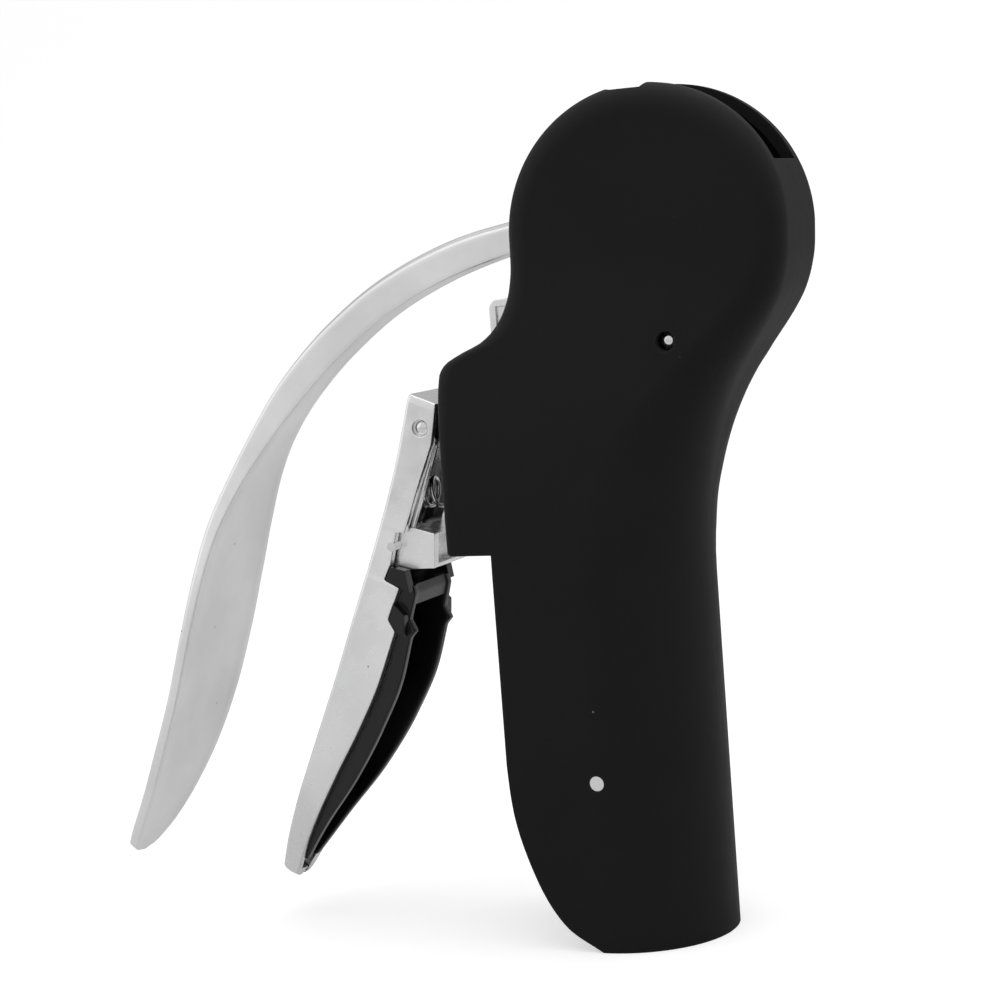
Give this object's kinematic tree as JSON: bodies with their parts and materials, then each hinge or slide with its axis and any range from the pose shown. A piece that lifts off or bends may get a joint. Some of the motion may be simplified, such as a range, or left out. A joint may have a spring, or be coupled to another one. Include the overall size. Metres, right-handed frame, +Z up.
{
  "type": "lever corkscrew",
  "caption": "Hand-held corkscrew with a long geared pull lever over a black body, a worm on a sliding carriage and a sprung clamp handle that grips the bottle neck.",
  "frame": {"origin": "on the worm's axis at the open bottom rim of the body, where the bottle neck goes in", "axes": "+Z up along the worm's axis, -X towards the pull lever and the clamp handle, Y across the body's thickness"},
  "size_m": [0.1627, 0.041, 0.1689],
  "materials": {
    "soft_black": "satin soft-touch black",
    "dark_screw": "blackened steel",
    "satin_metal": "satin cast alloy, lightly brushed",
    "bright_cast": "bright satin cast alloy",
    "gear_steel": "machined steel, lightly oiled",
    "frame_steel": "stamped zinc-plated steel",
    "spring_steel": "bright drawn wire",
    "worm_steel": "polished steel",
    "bright_pin": "polished nickel-plated steel",
    "brass": "turned brass",
    "inner_plastic": "moulded black plastic",
    "neck_rubber": "matte black rubber",
    "grip_rubber": "smooth glossy black rubber"
  },
  "bodies": {
    "body": {"left_casing": "soft_black", "right_casing": "soft_black", "casing_screws": "dark_screw", "pivot_pin": "gear_steel", "pivot_spacers": "inner_plastic", "pivot_clips": "spring_steel", "gear_axle": "bright_pin", "right_frame_plate": "frame_steel", "left_frame_plate": "frame_steel", "frame_spacers": "frame_steel", "stop_pin": "bright_pin", "bracket_pins": "frame_steel", "holder_pins": "frame_steel", "lever_stop": "bright_cast", "guide_nut": "brass", "nut_holder": "inner_plastic", "neck_liner": "neck_rubber", "liner_pins": "bright_pin", "clamp_bracket": "inner_plastic", "clamp_pin": "bright_pin", "clamp_spring": "spring_steel"},
    "lever": {"pull_lever": "satin_metal", "hub_gear": "gear_steel", "lever_rivets": "gear_steel"},
    "gear_cluster": {"idler_gear": "gear_steel", "left_rack_pinion": "gear_steel", "right_rack_pinion": "gear_steel", "gear_sleeve": "brass"},
    "carriage": {"carriage_block": "inner_plastic", "left_rack": "gear_steel", "right_rack": "gear_steel", "rack_screws": "dark_screw"},
    "worm_assembly": {"worm": "worm_steel", "worm_cap": "worm_steel"},
    "clamp": {"clamp_handle": "bright_cast", "clamp_liner": "grip_rubber", "liner_carrier": "bright_cast", "carrier_pin": "bright_pin"}
  },
  "joints": [
    {"name": "lever_swing", "type": "hinge", "parent": "body", "child": "lever", "pos_m": [0.015, 0, 0.1405], "axis": [0, 1, 0], "range_deg": [0, 140]},
    {"name": "gear_spin", "type": "hinge", "parent": "body", "child": "gear_cluster", "pos_m": [0.02, 0, 0.1195], "axis": [0, 1, 0], "range_deg": [-250, 0]},
    {"name": "carriage_slide", "type": "slide", "parent": "body", "child": "carriage", "axis": [0, 0, -1], "range_m": [0, 0.0392]},
    {"name": "worm_spin", "type": "hinge", "parent": "carriage", "child": "worm_assembly", "pos_m": [0, 0, 0.1], "axis": [0, 0, -1], "range_deg": [0, 1652]},
    {"name": "clamp_squeeze", "type": "hinge", "parent": "body", "child": "clamp", "pos_m": [-0.0364, 0, 0.1043], "axis": [0, -1, 0], "range_deg": [0, 27], "stiffness_Nm_per_rad": 0.25, "springref_deg": -22.92, "deforming": ["clamp_spring"]}
  ],
  "couplings": [
    {"joint": "gear_spin", "follows": "lever_swing", "ratio": -1.7692},
    {"joint": "carriage_slide", "follows": "lever_swing", "m_per_rad": 0.015923},
    {"joint": "worm_spin", "follows": "lever_swing", "ratio": 11.77}
  ]
}
